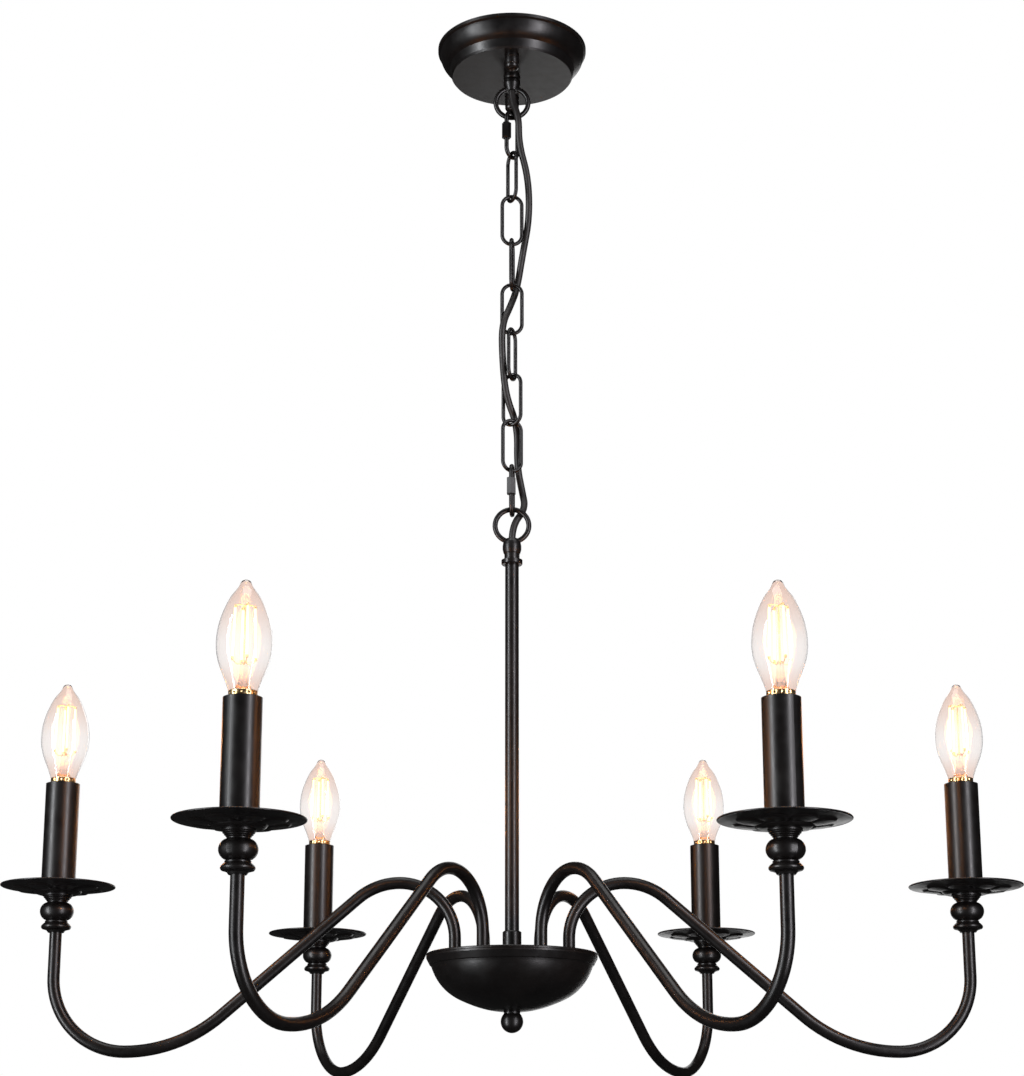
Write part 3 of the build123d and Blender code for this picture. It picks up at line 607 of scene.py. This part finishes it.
def pan_mesh():
    """Upper face outward, round the rolled rim, and back along the lower face, as a closed ring."""
    plate = PLATE_END - PLATE_START
    stations = list(CUP_STATIONS)
    stations += [PLATE_START + plate * i / PLATE_STEPS for i in range(1, PLATE_STEPS + 1)]
    offsets = [CUP_WALL_OFFSET if CUP_WALL_START < r < CUP_WALL_END else 0 for r in stations]
    rings = []
    for k in range(PAN_SIDES):
        angle = tau * k / PAN_SIDES
        upper = [(r, pan_height(r) - pressing(r, angle)) for r in stations]
        lower = [
            (r + offset, max(z - PAN_SHEET, PAN_BOTTOM)) for (r, z), offset in zip(upper, offsets)
        ]
        section = [*upper, *ROLLED_RIM, *lower[::-1]]
        rings.append([Vector((r * cos(angle), r * sin(angle), z)) for r, z in section])
    count = len(rings[0])
    vertices = [point for ring in rings for point in ring]
    faces = []
    for k in range(PAN_SIDES):
        here, after = k * count, ((k + 1) % PAN_SIDES) * count
        for i in range(count):
            j = (i + 1) % count
            faces.append((here + i, after + i, after + j, here + j))
    return vertices, faces


pan = pan_mesh()
for number, (body, place) in enumerate(candles, 1):
    drip_pan = joined(f"drip_pan_{number}", [pan], place, sharp_angle=55)
    add_piece(drip_pan, "fixture", "black_powder_coat", node="bobeches")


# Each bulb's screw cap has a rolled thread, a flared skirt with crimps, and a glass insulator.
def wavy_ring(radius_at, height):
    """A ring of the cap, with its radius given for each angle."""
    angles = [tau * k / CAP_SIDES for k in range(CAP_SIDES)]
    return [Vector((radius_at(a) * cos(a), radius_at(a) * sin(a), height)) for a in angles]


def thread_ring(share):
    """A ring of the thread at a share of its height; the thread fades out at both ends."""
    height = THREAD_BOTTOM + (THREAD_TOP - THREAD_BOTTOM) * share
    depth = THREAD_DEPTH * min(1, share / THREAD_RUN_OUT, (1 - share) / THREAD_RUN_OUT)
    return wavy_ring(
        lambda angle: THREAD_MEAN_RADIUS + depth * sin(tau * height / THREAD_PITCH - angle), height
    )


def skirt_ring(height, crimp):
    """A ring of the skirt, pinched in by a share of the crimps' depth."""
    return wavy_ring(
        lambda angle: SKIRT_RADIUS - crimp * CRIMP_DEPTH * max(0, cos(CRIMP_COUNT * angle)) ** 3,
        height,
    )


def cap_rings():
    """The cap's rings from the thread's foot to the lip round the glass neck."""
    foot = ((0.0040, THREAD_BOTTOM - 0.0012), (0.0053, THREAD_BOTTOM - 0.0004))
    rings = turned(foot, CAP_SIDES)
    rings += [thread_ring(i / THREAD_STEPS) for i in range(THREAD_STEPS + 1)]
    rings += turned(CAP_SHOULDER, CAP_SIDES)
    rings += [skirt_ring(height, crimp) for height, crimp in zip(SKIRT_LEVELS, CRIMP_SHARES)]
    return rings + turned(CAP_LIP, CAP_SIDES)


def around(radius, turn, height):
    """A point at a radius, angle and height."""
    return Vector((radius * cos(turn), radius * sin(turn), height))


def filament_set():
    """Four upright filaments, and the post, clips and wires that hold them."""
    post_end = Vector((0, 0, POST_TOP))
    rods, wires = [], [sweep([(0, 0, STEM_TOP - POST_SUNK), post_end], POST_RADIUS)]
    for k in range(FILAMENT_COUNT):
        turn = radians(FILAMENT_TURN + 360 * k / FILAMENT_COUNT)
        low = around(FILAMENT_BOTTOM_CIRCLE, turn, FILAMENT_BOTTOM)
        high = around(FILAMENT_TOP_CIRCLE, turn, FILAMENT_TOP)
        along = (high - low).normalized()
        rods.append(sweep([low, high], FILAMENT_RADIUS, FILAMENT_SIDES))
        for end, outward in ((low, -along), (high, along)):
            clip = [end - outward * CLIP_OVERLAP, end + outward * CLIP_REACH]
            wires.append(sweep(clip, CLIP_RADIUS, CLIP_SIDES))
        foot = around(FOOT_CIRCLE, turn, STEM_TOP - FOOT_SUNK)
        elbow = low.lerp(foot, ELBOW_SHARE) - Vector((0, 0, ELBOW_SAG))
        wires.append(sweep([low - along * WIRE_START, elbow, foot], WIRE_RADIUS))
        crook = high.lerp(post_end, CROOK_SHARE) + Vector((0, 0, CROOK_RISE))
        wires.append(sweep([high + along * WIRE_START, crook, post_end], WIRE_RADIUS))
    return rods, wires


cap = rings_to_mesh(cap_rings())
insulator = rings_to_mesh(turned(INSULATOR_PROFILE))
glass_stem = rings_to_mesh(turned(STEM_PROFILE, STEM_SIDES))
filament_parts, wire_parts = filament_set()

for number, (body, place) in enumerate(candles, 1):
    core = f"bulb_core_{number}"
    for name, parts, slot, surface in (
        ("bulb_cap", [cap], "cap_brass", brass),
        ("bulb_insulator", [insulator], "socket_plastic", socket_plastic),
        ("bulb_stem", [glass_stem], "clear_glass", glass),
        ("bulb_filaments", filament_parts, "filament_glow", glow),
        ("bulb_wires", wire_parts, "cap_brass", wire),
    ):
        made = joined(f"{name}_{number}", parts, place)
        add_piece(made, body, slot, surface, node=core)
        made.visible_shadow = name in ("bulb_cap", "bulb_insulator")
    frame["nodes"][f"bulb_glass_{number}"].visible_shadow = False


# ---- Floor, world and lights -----------------------------------------------------------------------
corners = ((-1, -1), (1, -1), (1, 1), (-1, 1))
floor = mesh_object(
    "floor",
    [(x * FLOOR_HALF, y * FLOOR_HALF, FLOOR_LEVEL) for x, y in corners],
    [(0, 1, 2, 3)],
)
paper = Surface("floor_paper", Roughness=0.9, Specular_IOR_Level=0.2)
paper.colour(paper.noise(0.6, 2), (0.880, 0.880, 0.875), (0.890, 0.890, 0.885))
finish_with(floor, paper)
floor.visible_glossy = False

world = bpy.data.worlds.new("studio")
scene.world = world
world.use_nodes = True
tree = world.node_tree
background = tree.nodes["Background"]
background.inputs["Color"].default_value = (1, 1, 1, 1)
# The room is white, but it stays out of the gloss, so that only the softboxes shine there.
path = tree.nodes.new("ShaderNodeLightPath")
mirrored = tree.nodes.new("ShaderNodeMath")
mirrored.operation = "SUBTRACT"
mirrored.use_clamp = True
level = tree.nodes.new("ShaderNodeMapRange")
level.inputs["To Min"].default_value = ROOM_LEVEL
level.inputs["To Max"].default_value = ROOM_LEVEL_IN_GLOSS
tree.links.new(path.outputs["Is Glossy Ray"], mirrored.inputs[0])
tree.links.new(path.outputs["Is Transmission Ray"], mirrored.inputs[1])
tree.links.new(mirrored.outputs[0], level.inputs["Value"])
tree.links.new(level.outputs[0], background.inputs["Strength"])


def hang_lamp(name, data, place):
    """Put a lamp that shines but isn't seen itself, directly or through the glass."""
    lamp = bpy.data.objects.new(name, data)
    lamp.location = place
    lamp.visible_camera = False
    lamp.visible_transmission = False
    scene.collection.objects.link(lamp)
    return lamp


def softbox(name, place, width, height, power, colour=(1, 1, 1)):
    """A rectangular area light that faces the middle of the chandelier."""
    data = bpy.data.lights.new(name, "AREA")
    data.shape = "RECTANGLE"
    data.size = width
    data.size_y = height
    data.energy = power
    data.color = colour
    facing = Vector(LIGHT_TARGET) - Vector(place)
    hang_lamp(name, data, place).rotation_euler = facing.to_track_quat("-Z", "Y").to_euler()


for box in SOFTBOXES:
    softbox(**box)

filament_middle = Vector((0, 0, (FILAMENT_BOTTOM + FILAMENT_TOP) / 2))
for number, (_, place) in enumerate(candles, 1):
    name = f"bulb_warmth_{number}"
    data = bpy.data.lights.new(name, "POINT")
    data.energy = WARM_POWER
    data.shadow_soft_size = WARM_RADIUS
    data.color = WARM
    hang_lamp(name, data, place + filament_middle)
